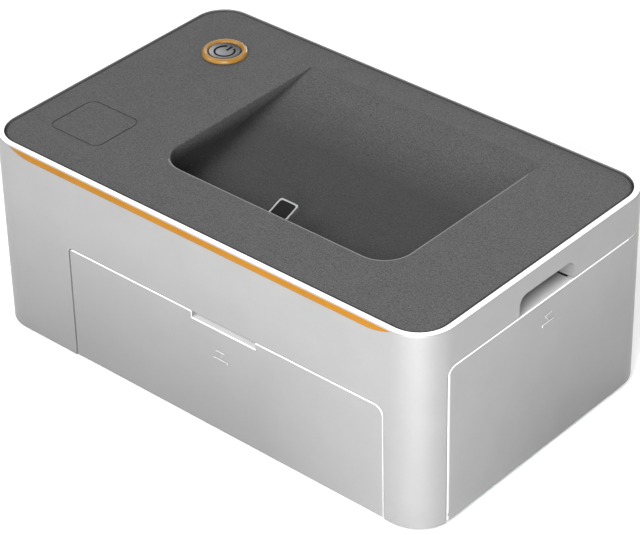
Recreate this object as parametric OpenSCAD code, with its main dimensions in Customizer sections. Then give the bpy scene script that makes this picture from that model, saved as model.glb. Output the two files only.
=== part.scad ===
// Compact photo printer with a dock recess in its deck, a paper door in front and a ribbon door at the side.
// +X runs along the long side, the paper door faces -Y, and z = 0 is the surface that the feet stand on.

/* [Body] */
// Width of the body along its long side
body_w = 165.8; // [160:0.2:176]
// Depth of the body from front face to rear face
body_d = 102; // [99:0.5:110]
// Height of the rim above the surface that the feet stand on
body_h = 65; // [63.5:0.5:70]
// Radius of the upright corners
corner_r = 11.7; // [10.5:0.1:12.5]
// Thickness of the moulded walls
wall = 2.2; // [2:0.1:2.4]
// Height of the feet below the case
foot_h = 1; // [0.6:0.1:1.4]
// Radius of one foot
foot_r = 5; // [4:0.5:6]
// Thickness of the base pan
pan_t = 2; // [1.6:0.1:2.2]

/* [Deck] */
// Width of the bright rim round the deck
rim_w = 1.9; // [1.5:0.1:2.1]
// Thickness of the deck panel
deck_t = 2; // [1.6:0.1:2.4]
// How far the deck lies below the rim
deck_drop = 0.4; // [0.2:0.1:0.6]
// Open line between the rim and the deck
deck_gap = 0.3; // [0.15:0.05:0.4]
// Radius of the rim's outer edge
rim_edge = 0.4; // [0.3:0.05:0.6]
// Distance from the left face to the dock recess
dock_left = 49.1; // [46:0.1:52]
// Distance from the right face to the dock recess
dock_right = 30.9; // [28:0.1:34]
// Distance from the front face to the front wall of the recess
dock_front = 22.4; // [21.5:0.1:24]
// Distance from the rear face to the rear end of the recess
dock_rear = 12.6; // [11:0.1:16]
// Depth of the recess at its front wall
dock_depth = 10.5; // [9.5:0.1:10.8]
// Radius of the front corners of the recess
dock_r = 9; // [5:0.5:12]
// Radius of the upper edge of the recess
dock_edge = 0.4; // [0.3:0.05:0.5]
// Height of the accent strip on the front face
strip_h = 2.1; // [1.6:0.1:3]
// Length over which each end of the strip runs out to a point
strip_taper = 9; // [5:0.5:14]
// Depth of the groove that holds the strip
strip_t = 0.8; // [0.5:0.1:1]

/* [Power button] */
// Distance from the left face to the middle of the button
button_in_x = 23.2; // [22:0.1:26]
// Distance from the rear face to the middle of the button
button_in_y = 23.4; // [20:0.1:26]
// Outer radius of the orange ring
ring_r = 7; // [6.6:0.1:7.6]
// Radius of the button
button_r = 5; // [4.4:0.1:5.2]
// Travel of the button
button_travel = 0.8; // [0.5:0.1:1]

/* [Doors] */
// Distance from the left face to the front door
door_left = 33.85; // [33:0.05:35]
// Distance from the right face to the front door
door_right = 14.35; // [14:0.05:15]
// Distance from the rim down to the top edge of the front door
door_down = 26.4; // [25:0.1:27.5]
// Distance from the front face to the front edge of the side door
side_front = 9.8; // [9.6:0.1:10.4]
// Distance from the rim down to the top edge of the side door
side_down = 12.6; // [11.6:0.1:13.2]
// How far the side door runs along the rear face, past the corner
side_wrap = 9.9; // [9.5:0.1:12]
// Gap round the doors
door_gap = 0.35; // [0.3:0.05:0.45]
// Radius of the doors' outer edges
door_edge = 0.45; // [0.25:0.05:0.55]
// Width of the finger notch in the front door and of the scoop over the side door
notch_w = 24.2; // [18:0.2:28]
// Depth of the finger notch
notch_h = 2.4; // [1.8:0.1:3]
// Height of the finger scoop
scoop_h = 6.7; // [5.5:0.1:7.5]
// Radius of the hinge barrels
barrel_r = 2.4; // [2.2:0.05:2.45]
// Radius of the hinge pins
pin_r = 0.75; // [0.6:0.05:0.9]

/* [Print engine] */
// Thickness of the steel side plates
plate_t = 1.2; // [1:0.1:1.4]
// Radius of the platen roller
platen_r = 6; // [5.6:0.1:6.2]
// Radius of the capstan roller
capstan_r = 4.6; // [4.2:0.1:4.8]
// Radius of the pinch roller
pinch_r = 3.2; // [2.8:0.1:3.4]
// Radius of the rubber tyres that pick up the paper
pickup_r = 7; // [6.6:0.1:7.1]
// Radius of the roller shafts
shaft_r = 2; // [1.8:0.1:2.2]
// Height of the paper where it passes between the rollers
nip_z = 30; // [29.9:0.1:30.4]
// Radius of the ribbon wound on the take-up spool
takeup_r = 6.5; // [5.5:0.1:6.6]
// Play of a shaft in its bore
running = 0.06; // [0.03:0.01:0.08]
// Turn of the cam that lowers the print head, in degrees
cam_turn = 150; // [120:5:170]
// How far the print head comes down
head_drop = 2.4; // [1.8:0.1:2.5]

/* [Hidden] */
$fn = 64;

// Outer faces of the body, and how much higher it is than the size that the engine is laid out for
extra_h = body_h - 65;
half_w = body_w / 2;
half_d = body_d / 2;
door_top = body_h - door_down;
side_top = body_h - side_down;
pan_top = foot_h + pan_t;
deck_z = body_h - deck_drop;
deck_under = deck_z - deck_t;
fit = 0.15;

// Dock recess
dock_x = (dock_left - dock_right) / 2;
dock_w = body_w - dock_left - dock_right;
dock_y0 = dock_front - half_d;
dock_y1 = half_d - dock_rear;
dock_l = dock_y1 - dock_y0;
tray_t = 1.6;
plug_w = 6.7;
plug_t = 1.5;
plug_reach = 12.5;
plug_tilt = 21;
carrier_r = 2.6;
carrier_w = 10.4;
carrier_y = dock_y0 - 2.8;
carrier_z = deck_z - dock_depth * 0.6;
ear_t = 2;

// Power button
button_x = button_in_x - half_w;
button_y = half_d - button_in_y;
button_z = deck_z + 0.7;
ring_rise = 1.2;
ring_shank = 1.1;
switch_board_t = 1.2;
switch_h = 2.5;
button_stem = 1.4;
button_post = 8.4;
switch_top = deck_under - button_stem - button_travel - 0.1;
switch_board_z = switch_top - switch_h;

// Doors and their hinge lines
door_l = door_left - half_w;
door_r = half_w - door_right;
door_x = (door_l + door_r) / 2;
door_w = door_r - door_l;
door_bottom = foot_h + 0.4;
door_r_left = 1.2;
door_r_right = 3;
side_r = 3;
hinge_z = foot_h + barrel_r + 0.1;
front_hinge_y = barrel_r - half_d;
side_hinge_x = half_w - barrel_r;
side_y0 = side_front - half_d;
side_barrel_y1 = half_d - 18;
pin_l = 8;
lug_t = 5;
jamb = 3;
rear_lug_t = 3;
rear_lug_r = 1.5;
scoop_deep = 5.6;
scoop_t = 1.6;
scoop_y = 0.8;
notch_x0 = door_x + 1.3 - notch_w / 2;
notch_x1 = notch_x0 + notch_w;
notch_in = 2.6;
notch_back = 3.6;
mark_rise = 0.35;

// Paper bay between the side plates
bay_t = 1.6;
bay_l = door_l + jamb;
bay_r = door_r - jamb;
bay_top = door_top - 1.6;
bay_y0 = front_hinge_y + barrel_r + 0.3;
bay_y1 = half_d - 49;
plate_l = bay_l - bay_t - 0.4;
plate_r = bay_r + bay_t + 0.4;
plate_y0 = half_d - 77;
flange_y0 = half_d - 45;
flange_y1 = half_d - 7;
bay_roof_y1 = plate_y0 - 0.6;

// Shaft centres, as [y, z]
module_a = 0.8;
module_b = 0.6;
teeth_roller = 20;
teeth_idler = 12;
teeth_pinion = 12;
teeth_big = 36;
teeth_takeup = 31 + 2 * round(extra_h / 1.6);
function pitch(teeth, size) = teeth * size / 2;
function meet(a, b, da, db) =
    let (d = norm(b - a), t = (da * da - db * db + d * d) / (2 * d), u = (b - a) / d)
    a + u * t + [u[1], -u[0]] * sqrt(da * da - t * t);
capstan = [half_d - 13, nip_z - capstan_r + 0.6];
platen = [half_d - 39.5, nip_z - platen_r - 0.1];
pickup = [platen[0] - 25.5, platen[1] + 0.1];
pinch = [capstan[0], capstan[1] + capstan_r + pinch_r + 0.3];
mesh_rollers = 2 * pitch(teeth_roller, module_a);
reduction = meet(platen, capstan, mesh_rollers, mesh_rollers);
mesh_idler = pitch(teeth_roller, module_a) + pitch(teeth_idler, module_a);
idler = meet(pickup, platen, mesh_idler, mesh_idler);
mesh_motor = pitch(teeth_pinion, module_b) + pitch(teeth_big, module_b);
motor_turn = -14;
motor = reduction + mesh_motor * [cos(motor_turn), sin(motor_turn)];
mesh_takeup = pitch(teeth_roller, module_a) + pitch(teeth_takeup, module_a);
takeup_y = half_d - 24.5;
takeup = [takeup_y, capstan[1] + sqrt(mesh_takeup * mesh_takeup - pow(capstan[0] - takeup_y, 2))];
arm_z = 53.2 + 0.8 * extra_h;
head_y = platen[0] - 1.2;
head_half = 4.5;
supply_r = 9.5 + extra_h / 3;
tube_t = 1.2;
tube_gap = 0.6;
supply_tube = supply_r + tube_gap + tube_t;
takeup_tube = takeup_r + tube_gap + tube_t;
supply = [head_y - head_half - 1 - supply_tube, nip_z + 2 + supply_r];
head_shaft = [half_d - 8, arm_z - 3.2];

// Gear planes and lengths along X
gear_t = 4;
gear_gap = 0.6;
plane_a = plate_l - plate_t - gear_gap - gear_t;
plane_b = plane_a - gear_gap - gear_t;
roller_l = bay_l + 1.5;
roller_r = bay_r - 1.5;
bush_r = 3.5;
collar_r = bush_r - 0.4;
spring_seat = 3.2;
spring_wire = 0.25;
spring_h = 5;
spring_z = pinch[1] + collar_r + spring_wire + 0.05;
tab_z = spring_z + spring_h + spring_wire + 0.05;

// Print head
arm_t = 1.6;
head_foot = nip_z + 0.7 + head_drop;
arm_reach = head_shaft[0] - head_y;
head_angle = asin(head_drop / arm_reach);
cam_y = half_d - 43;
cam_z = arm_z - 7.2;
cam_rise = (head_shaft[0] - cam_y) * sin(head_angle);
cam_high = arm_z - cam_z - 0.2;

// Ribbon cartridge
cart_l = roller_l + 1;
cart_r = plate_r + plate_t + 3.2;
cap_t = 2.5;
journal_r = 3;
spool_r = 4.2;
roll_l = cart_l + cap_t + 1;
roll_r = plate_r - 1.5;
film_t = 0.15;
film_z = nip_z + 0.2;

// Main board beside the left wall
board_t = 1.6;
board_x = wall + 5.5 - half_w;
board_y0 = 13 - half_d;
board_y1 = half_d - 11;
board_top = body_h - 11;
board_holes_y = [21 - half_d, half_d - 17];
board_holes_z = [12, body_h - 19];
port_x = board_x + board_t + 1;
port_w = 7.8;
inlet_x = board_x + board_t + 5.4;
rear_inside = half_d - wall - 0.6;
board_hole_r = 1.25;

module rounded(w, d, r) {
    square([w - 2 * r, d], center = true);
    square([w, d - 2 * r], center = true);
    for (x = [-1, 1], y = [-1, 1])
        translate([x * (w / 2 - r), y * (d / 2 - r)]) circle(r);
}

// Prism of the body's outline, drawn in by inset, from z0 to z1
module body_prism(inset, z0, z1) {
    translate([0, 0, z0]) linear_extrude(z1 - z0)
        rounded(body_w - 2 * inset, body_d - 2 * inset, corner_r - inset);
}

// What a round of radius r takes off an edge at the origin; the solid lies towards -Y, and towards -X
// where side is 1 or +X where it is -1
module edge_profile(r, side) {
    over = 0.2;
    difference() {
        translate([side > 0 ? -r : -over, -r]) square(r + over);
        translate([-side * r, -r]) circle(r);
    }
}

// What a round takes off the upper edge, at height z, of the body's outline drawn in by inset
module outline_round(inset, z, r) {
    c = corner_r - inset;
    x = half_w - inset;
    y = half_d - inset;
    for (a = [0, 180]) rotate(a) {
        translate([x, 0, z]) rotate([90, 0, 0])
            linear_extrude(2 * (y - c), center = true) edge_profile(r, 1);
        translate([0, y, z]) rotate([90, 0, 90])
            linear_extrude(2 * (x - c), center = true) edge_profile(r, 1);
        translate([x - c, y - c, z]) rotate_extrude(angle = 90) translate([c, 0]) edge_profile(r, 1);
        translate([c - x, y - c, z]) rotate(90) rotate_extrude(angle = 90) translate([c, 0]) edge_profile(r, 1);
    }
}

module box(x0, x1, y0, y1, z0, z1) {
    translate([x0, y0, z0]) cube([x1 - x0, y1 - y0, z1 - z0]);
}

// Stands a shape drawn in Y and Z on X at place x, extruded towards +X
module across(x0, x1) {
    translate([x0, 0, 0]) rotate([90, 0, 90]) linear_extrude(x1 - x0) children();
}

module rod(p, x0, x1, r) {
    translate([x0, p[0], p[1]]) rotate([0, 90, 0]) cylinder(h = x1 - x0, r = r);
}

module tube(p, x0, x1, r, bore) {
    difference() {
        rod(p, x0, x1, r);
        rod(p, x0 - 1, x1 + 1, bore);
    }
}

// Angle between the radius and the involute at radius r
function roll(base, r) = sqrt(pow(r / base, 2) - 1) * 180 / PI - acos(base / r);

// Involute gear outline with its first tooth on +X
module gear_outline(teeth, size) {
    rp = pitch(teeth, size);
    base = rp * cos(20);
    tip = rp + 0.92 * size;
    root = min(rp - 1.2 * size, base - 0.02);
    half = 90 / teeth - 0.035 / rp * 180 / PI;
    steps = 4;
    flank = [for (k = [0:steps]) let (r = base + (tip - base) * k / steps)
        [r, half + roll(base, rp) - roll(base, r)]];
    tooth = concat([[root, -flank[0][1]]], [for (f = flank) [f[0], -f[1]]],
        [for (k = [steps:-1:0]) flank[k]], [[root, flank[0][1]]]);
    polygon([for (i = [0:teeth - 1], t = tooth) let (a = t[1] + i * 360 / teeth) t[0] * [cos(a), sin(a)]]);
}

// Turn that brings a gear into mesh with a partner of known turn; at is the direction from partner to gear
function mesh_turn(at, partner_teeth, partner_turn, teeth) =
    at + 180 + 180 / teeth + (at - partner_turn) * partner_teeth / teeth;
function direction(a, b) = atan2(b[1] - a[1], b[0] - a[0]);
turn_reduction = 0;
turn_capstan = mesh_turn(direction(reduction, capstan), teeth_roller, turn_reduction, teeth_roller);
turn_platen = mesh_turn(direction(reduction, platen), teeth_roller, turn_reduction, teeth_roller);
turn_idler = mesh_turn(direction(platen, idler), teeth_roller, turn_platen, teeth_idler);
turn_pickup = mesh_turn(direction(idler, pickup), teeth_idler, turn_idler, teeth_roller);
turn_pinion = mesh_turn(direction(reduction, motor), teeth_big, turn_reduction, teeth_pinion);
turn_takeup = mesh_turn(direction(capstan, takeup), teeth_roller, turn_capstan, teeth_takeup);

module gear(p, x0, teeth, size, turn, bore) {
    difference() {
        across(x0, x0 + gear_t) translate(p) rotate(turn) gear_outline(teeth, size);
        rod(p, x0 - 1, x0 + gear_t + 1, bore);
    }
}

// Accent strip outline on the front face, its ends running out to points at the upper edge
strip_top = body_h - rim_edge;
strip_half = half_w - corner_r;
module strip_outline() {
    low = [for (k = [0:8]) let (t = k / 8)
        [strip_half - strip_taper * (1 - t), strip_top - strip_h * (1 - t * t)]];
    polygon(concat([for (p = low) [-p[0], p[1]]], [for (k = [8:-1:0]) low[k]]));
}

// Outline of a door in a face, with rounded upper corners
module door_outline(x0, x1, z0, z1, r0, r1) {
    difference() {
        translate([x0, z0]) square([x1 - x0, z1 - z0]);
        if (r0 > 0) translate([x0, z1 - r0]) square(r0);
        if (r1 > 0) translate([x1 - r1, z1 - r1]) square(r1);
    }
    if (r0 > 0) translate([x0 + r0, z1 - r0]) circle(r0);
    if (r1 > 0) translate([x1 - r1, z1 - r1]) circle(r1);
}

module front_door_shape(grow, y0, y1) {
    translate([0, y1, 0]) rotate([90, 0, 0]) linear_extrude(y1 - y0)
        door_outline(door_l - grow, door_r + grow, door_bottom - 5 * grow, door_top + grow, door_r_left + grow,
            door_r_right + grow);
}

// The side door's share of the wall: right face, rear corner and the start of the rear face
module side_door_shape(grow, x0) {
    translate([x0, 0, 0]) rotate([90, 0, 90]) linear_extrude(half_w + 1 - x0)
        door_outline(side_y0 - grow, half_d + 1, door_bottom - 5 * grow, side_top + grow, side_r + grow, 0);
}

// Finger scoop over the side door, drawn in Y and Z
module scoop_outline() {
    door_outline(scoop_y - notch_w / 2, scoop_y + notch_w / 2, side_top - 3, side_top + scoop_h, 3, 3);
}

rear_port_z = 9;
module inlet_hole(r) {
    translate([inlet_x, half_d - wall - 1, rear_port_z + 4]) rotate([-90, 0, 0]) cylinder(h = wall + 2, r = r);
}

module upper_case() {
    ledge = 1.4;
    slot_l = bay_l + 3.8;
    slot_r = bay_r - 3.8;
    color("#d4d4d2") difference() {
        union() {
            difference() {
                body_prism(0, foot_h, body_h);
                body_prism(wall, foot_h - 1, deck_under);
                body_prism(rim_w, deck_under, body_h + 1);
            }
            difference() {
                body_prism(wall - 0.01, deck_under - ledge, deck_under);
                body_prism(wall + ledge, deck_under - ledge - 1, deck_under + 1);
            }
            intersection() {
                body_prism(wall / 2, foot_h, door_top);
                for (x = [door_l - door_gap - lug_t, door_r + door_gap])
                    box(x, x + lug_t, -half_d, front_hinge_y + barrel_r, foot_h, foot_h + 7);
            }
            intersection() {
                body_prism(wall / 2, foot_h, door_top);
                box(side_hinge_x - barrel_r, half_w, side_y0 - door_gap - 2.7, side_y0 - door_gap,
                    foot_h, foot_h + 7);
            }
            box(half_w - scoop_deep - scoop_t, half_w - wall / 2, scoop_y - notch_w / 2 - scoop_t,
                scoop_y + notch_w / 2 + scoop_t, side_top + door_gap, side_top + scoop_h + scoop_t);
            for (y = board_holes_y, z = board_holes_z) rod([y, z], wall / 2 - half_w, board_x, 3);
        }
        outline_round(0, body_h, rim_edge);
        front_door_shape(door_gap, -half_d - 1, wall - half_d + 0.01);
        side_door_shape(door_gap, half_w - side_wrap - door_gap);
        across(half_w - scoop_deep, half_w + 1) scoop_outline();
        translate([0, strip_t - half_d, 0]) rotate([90, 0, 0]) linear_extrude(strip_t + 1) strip_outline();
        box(slot_l, slot_r, half_d - wall - 1, half_d + 1, nip_z - 1.6, nip_z + 2.6);
        inlet_hole(4.4);
        box(port_x - 0.2, port_x + port_w + 0.2, half_d - wall - 1, half_d + 1, 23.8, 38.2);
        for (k = [0:6]) translate([bay_l + 5 * k, 0, 0])
            box(0, 2.4, half_d - wall - 1, half_d + 1, body_h - 23, body_h - 11);
        rod([front_hinge_y, hinge_z], door_l - door_gap - 4, door_l, pin_r);
        rod([front_hinge_y, hinge_z], door_r, door_r + door_gap + 4, pin_r);
        translate([side_hinge_x, side_y0 - door_gap - 2.2, hinge_z]) rotate([-90, 0, 0])
            cylinder(h = 4, r = pin_r);
        for (y = board_holes_y, z = board_holes_z) rod([y, z], board_x - 4, board_x + 0.01, board_hole_r);
    }
}

// Screws that hold the flanges of both side plates to the base pan
module screw_places() {
    for (x = [plate_l - 5.2, plate_r - 12], y = [half_d - 39, half_d - 15]) translate([x, y, 0]) children();
}

foot_x = half_w - 17;
foot_y = half_d - 17;
rail_places = [15 - half_d, half_d - 21];
module foot_places() {
    for (x = [-1, 1], y = [-1, 1]) translate([x * foot_x, y * foot_y, 0]) children();
}

module base_pan() {
    color("#3a3a3c") difference() {
        union() {
            body_prism(wall + fit, foot_h, pan_top);
            // Lug for the rear pin of the side door
            box(side_hinge_x - 8, side_hinge_x, side_barrel_y1 + 0.4, side_barrel_y1 + 0.4 + rear_lug_t,
                foot_h + 1.1, hinge_z + rear_lug_r);
            translate([side_hinge_x, side_barrel_y1 + 0.4, hinge_z]) rotate([-90, 0, 0])
                cylinder(h = rear_lug_t, r = rear_lug_r);
            // Rails that locate the main board
            for (y = rail_places)
                box(board_x - 1.4, board_x + board_t + 1.4, y, y + 6, pan_top - 0.01, pan_top + 3);
        }
        box(door_l - door_gap - lug_t - 0.2, door_r + door_gap + lug_t + 0.2, -half_d, bay_y0 - 0.1, 0, 20);
        difference() {
            box(side_hinge_x - barrel_r - 0.3, half_w, side_y0 - 3.4, half_d, 0, 20);
            box(side_hinge_x - 5, half_w, side_barrel_y1 + 0.3, side_barrel_y1 + 0.5 + rear_lug_t,
                foot_h + 1.1, 20);
        }
        // Room for the swing of the door's rear corner
        difference() {
            box(half_w - corner_r, half_w, half_d - corner_r, half_d, 0, 20);
            body_prism(wall + 1.6, -1, 21);
        }
        translate([side_hinge_x, side_barrel_y1, hinge_z]) rotate([-90, 0, 0]) cylinder(h = 6, r = pin_r);
        for (y = rail_places)
            box(board_x - 0.1, board_x + board_t + 0.1, y - 1, y + 7, pan_top + 0.5, pan_top + 4);
        foot_places() translate([0, 0, foot_h - 1]) cylinder(h = 1.6, r = foot_r + 0.1);
        for (k = [0:7]) translate([door_x - 39.75 + 6 * k, 0, 0])
            box(0, 3, half_d - 35, half_d - 17, 0, pan_top + 1);
        screw_places() cylinder(h = 8, r = 1.4);
    }
}

module rubber_feet() {
    color("#1c1c1c") foot_places() {
        cylinder(h = foot_h + 0.6, r = foot_r);
    }
}

module case_screws() {
    color("silver") screw_places() {
        translate([0, 0, foot_h - 0.6]) cylinder(h = 0.6, r = 2.4);
        translate([0, 0, foot_h]) cylinder(h = pan_t + 1, r = 1.3);
    }
}

// Outline of the dock recess, grown outwards by grow
module dock_outline(grow) {
    w = dock_w / 2 + grow;
    r = dock_r + grow;
    translate([dock_x, 0]) {
        translate([-w, dock_y0 - grow + r]) square([2 * w, dock_l + 2 * grow - r]);
        translate([r - w, dock_y0 - grow]) square([2 * (w - r), r]);
        for (side = [-1, 1]) translate([side * (w - r), dock_y0 - grow + r]) circle(r);
    }
}

// Wedge between the sloped floor and the deck, sunk by extra
module dock_wedge(grow, extra) {
    slope = dock_depth / dock_l;
    top = grow > 0 ? deck_z - 0.1 : deck_z + 1;
    intersection() {
        translate([0, 0, deck_z - 30]) linear_extrude(40) dock_outline(grow);
        across(-half_w, half_w) polygon([[dock_y0 - grow, deck_z - dock_depth - extra - grow * slope],
            [dock_y1 + grow, deck_z - extra + grow * slope], [dock_y1 + grow, top], [dock_y0 - grow, top]]);
    }
}

// What a round takes off the recess's upper edge, up to where the floor comes near the deck
module dock_round() {
    w = dock_w / 2;
    y0 = dock_y0 + dock_r;
    y1 = dock_y1 - 1.2 * dock_edge * dock_l / dock_depth;
    for (side = [-1, 1]) translate([dock_x + side * w, (y0 + y1) / 2, deck_z]) rotate([90, 0, 0])
        linear_extrude(y1 - y0, center = true) edge_profile(dock_edge, -side);
    translate([dock_x, dock_y0, deck_z]) rotate([90, 0, 90])
        linear_extrude(dock_w - 2 * dock_r, center = true) edge_profile(dock_edge, 1);
    for (side = [-1, 1]) translate([dock_x + side * (w - dock_r), y0, deck_z]) rotate(side > 0 ? 270 : 180)
        rotate_extrude(angle = 90) translate([dock_r, 0]) edge_profile(dock_edge, -1);
}

module top_deck() {
    color("#68686a") difference() {
        union() {
            body_prism(rim_w + deck_gap, deck_under, deck_z);
            dock_wedge(tray_t, tray_t);
            // Ears for the pin of the dock plug
            for (side = [-1, 1]) let (x = dock_x + side * (carrier_w / 2 + 0.3 + ear_t / 2))
                box(x - ear_t / 2, x + ear_t / 2, carrier_y - 2.4, dock_y0, carrier_z - 2.4, deck_under + 0.1);
            // Posts for the button board
            for (side = [-1, 1]) translate([button_x + side * button_post, button_y, switch_board_z])
                cylinder(h = deck_under - switch_board_z + 0.1, r = 1.8);
        }
        dock_wedge(0, 0);
        outline_round(rim_w + deck_gap, deck_z, 0.3);
        dock_round();
        box(dock_x - carrier_w / 2 - 0.3, dock_x + carrier_w / 2 + 0.3, dock_y0 - tray_t - 1, dock_y0 + 1,
            carrier_z - 3.4, carrier_z + 4.25);
        translate([button_x, button_y, deck_under - 1]) cylinder(h = deck_t + 2, r = ring_r - 0.6 + 0.05);
        rod([carrier_y, carrier_z], dock_x - 10, dock_x + 10, pin_r);
        // Engraved line of the bare square mark
        translate([21.9 - half_w, 24.6 - half_d, deck_z - 0.25]) linear_extrude(1) difference() {
            rounded(20, 18.6, 3);
            rounded(19.2, 17.8, 2.6);
        }
    }
}

module accent_stripe() {
    color("#e09a2c") translate([0, strip_t - half_d, 0]) rotate([90, 0, 0])
        linear_extrude(strip_t) strip_outline();
}

module button_ring() {
    inner = button_r + 0.12;
    shank = ring_r - 0.6;
    mid = (ring_r + inner) / 2;
    half = (ring_r - inner) / 2;
    color("#e09a2c") translate([button_x, button_y, 0]) rotate_extrude() polygon(concat(
        [[inner, deck_under - ring_shank], [shank, deck_under - ring_shank], [shank, deck_z], [ring_r, deck_z]],
        [for (a = [0:15:180]) [mid + half * cos(a), deck_z + 0.15 + (ring_rise - 0.15) * sin(a)]]));
}

module power_button() {
    dish = 0.35;
    color("silver") translate([button_x, button_y, 0]) {
        rotate_extrude() polygon(concat([[0, deck_under], [button_r, deck_under], [button_r, button_z - 0.15]],
            [for (k = [6:-1:0]) let (t = k / 6) [(button_r - 0.3) * t, button_z - dish + dish * t * t]]));
        translate([0, 0, deck_under - button_stem]) cylinder(h = button_stem, r = 1.6);
    }
}

module button_board() {
    color("#2f6b3a") translate([button_x, button_y, switch_board_z - switch_board_t]) difference() {
        linear_extrude(switch_board_t) rounded(2 * button_post + 3.6, 10, 2);
        for (side = [-1, 1]) translate([side * button_post, 0, -1]) cylinder(h = 4, r = 0.9);
    }
}

module button_switch() {
    color("#222222") translate([button_x, button_y, switch_board_z]) {
        linear_extrude(switch_h - 0.7) square(6, center = true);
        cylinder(h = switch_h, r = 1.7);
    }
}

// Raised generic mark: a triangle that points down over a short bar
module pull_mark(s) {
    polygon([[-s, s], [s, s], [0, -s * 0.2]]);
    translate([-s * 1.6, -s]) square([3.2 * s, s * 0.4]);
}

// What rounds take off the front door's outer edges
module front_door_round(r0, r1) {
    mid = (door_l + r0 + door_r - r1) / 2;
    translate([mid, -half_d, door_top]) rotate([90, 0, -90])
        linear_extrude(door_w - r0 - r1, center = true) edge_profile(door_edge, 1);
    translate([door_l, -half_d, door_bottom - 1]) rotate(180)
        linear_extrude(door_top - r0 - door_bottom + 1) edge_profile(door_edge, 1);
    translate([door_r, -half_d, door_bottom - 1]) rotate(-90)
        linear_extrude(door_top - r1 - door_bottom + 1) edge_profile(door_edge, 1);
    translate([door_l + r0, -half_d, door_top - r0]) rotate([90, 0, 0]) rotate(90)
        rotate_extrude(angle = 90) translate([r0, 0]) edge_profile(door_edge, 1);
    translate([door_r - r1, -half_d, door_top - r1]) rotate([90, 0, 0])
        rotate_extrude(angle = 90) translate([r1, 0]) edge_profile(door_edge, 1);
}

// What rounds take off the side door's outer edges, round the rear corner too
module side_door_round(r) {
    y1 = half_d - corner_r;
    translate([half_w, (side_y0 + r + y1) / 2, side_top]) rotate([90, 0, 0])
        linear_extrude(y1 - side_y0 - r, center = true) edge_profile(door_edge, 1);
    translate([half_w - corner_r, y1, side_top]) rotate_extrude(angle = 90)
        translate([corner_r, 0]) edge_profile(door_edge, 1);
    translate([half_w, side_y0, door_bottom - 1]) rotate(-90)
        linear_extrude(side_top - r - door_bottom + 1) edge_profile(door_edge, 1);
    translate([half_w, side_y0 + r, side_top - r]) rotate([90, 0, 90]) rotate(90)
        rotate_extrude(angle = 90) translate([r, 0]) edge_profile(door_edge, 1);
}

module front_door() {
    rib = 1.2;
    color("#cfcfcd") difference() {
        union() {
            intersection() {
                front_door_shape(0, -half_d, wall - half_d);
                body_prism(0, 0, body_h);
            }
            translate([door_l, 0, 0]) rod([front_hinge_y, hinge_z], 0, door_w, barrel_r);
            for (x = [door_l + 8:(door_w - 16 - rib) / 6:door_r - 8])
                box(x, x + rib, wall - half_d - 0.01, wall - half_d + 1.5, hinge_z, door_top - 5);
            box(notch_x0 - 1.2, notch_x1 + 1.2, wall - half_d - 0.01, notch_back - half_d,
                door_top - notch_h - 2.5, door_top);
            translate([door_x, -half_d + 0.01, door_top - 10.8]) rotate([90, 0, 0]) linear_extrude(mark_rise)
                pull_mark(1.6);
        }
        front_door_round(door_r_left, door_r_right);
        // Finger notch, a slope that runs up and inwards to the top edge
        across(notch_x0, notch_x1) polygon([[-half_d - 1, door_top - notch_h], [-half_d, door_top - notch_h],
            [notch_in - half_d, door_top], [notch_in - half_d, door_top + 1], [-half_d - 1, door_top + 1]]);
        for (x = [door_l - 0.01, door_r - pin_l + 3.01])
            rod([front_hinge_y, hinge_z], x, x + pin_l - 3, pin_r + running);
    }
}

module front_hinge_pins() {
    color("silver") {
        rod([front_hinge_y, hinge_z], door_l - door_gap - 3.6, door_l - door_gap - 3.6 + pin_l, pin_r);
        rod([front_hinge_y, hinge_z], door_r + door_gap + 3.6 - pin_l, door_r + door_gap + 3.6, pin_r);
    }
}

module side_door() {
    rib = 1.2;
    color("#c8c8c6") difference() {
        union() {
            intersection() {
                side_door_shape(0, half_w - side_wrap);
                difference() {
                    body_prism(0, door_bottom, body_h);
                    body_prism(wall, 0, body_h + 1);
                }
            }
            translate([side_hinge_x, side_y0, hinge_z]) rotate([-90, 0, 0])
                cylinder(h = side_barrel_y1 - side_y0, r = barrel_r);
            // Shelf behind the top edge, the floor of the finger scoop
            box(half_w - scoop_deep - 0.3, half_w - wall + 0.01, scoop_y - notch_w / 2 + 0.4,
                scoop_y + notch_w / 2 - 0.4, side_top - 1.2, side_top);
            for (y = [side_y0 + 6:11:side_barrel_y1])
                box(half_w - wall - 1.5, half_w - wall + 0.01, y, y + rib, hinge_z, side_top - 8);
            translate([half_w - 0.01, 1.5, side_top - 6.9]) rotate([90, 0, 90]) linear_extrude(mark_rise)
                pull_mark(1.6);
        }
        side_door_round(side_r);
        translate([side_hinge_x, side_barrel_y1 + 0.1, hinge_z]) rotate([-90, 0, 0])
            cylinder(h = rear_lug_t + 0.6, r = rear_lug_r + 0.3);
        box(side_hinge_x - 4, side_hinge_x + rear_lug_r + 0.3, side_barrel_y1 + 0.1,
            side_barrel_y1 + 0.7 + rear_lug_t, 0, hinge_z);
        translate([side_hinge_x, side_y0 - 0.01, hinge_z]) rotate([-90, 0, 0])
            cylinder(h = pin_l - 2, r = pin_r + running);
        translate([side_hinge_x, side_barrel_y1 - pin_l + 3, hinge_z]) rotate([-90, 0, 0])
            cylinder(h = pin_l, r = pin_r + running);
    }
}

module side_hinge_pins() {
    color("silver") {
        translate([side_hinge_x, side_y0 - door_gap - 2.2, hinge_z]) rotate([-90, 0, 0])
            cylinder(h = pin_l, r = pin_r);
        translate([side_hinge_x, side_barrel_y1 + 0.2 + rear_lug_t - pin_l, hinge_z]) rotate([-90, 0, 0])
            cylinder(h = pin_l, r = pin_r);
    }
}

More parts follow.
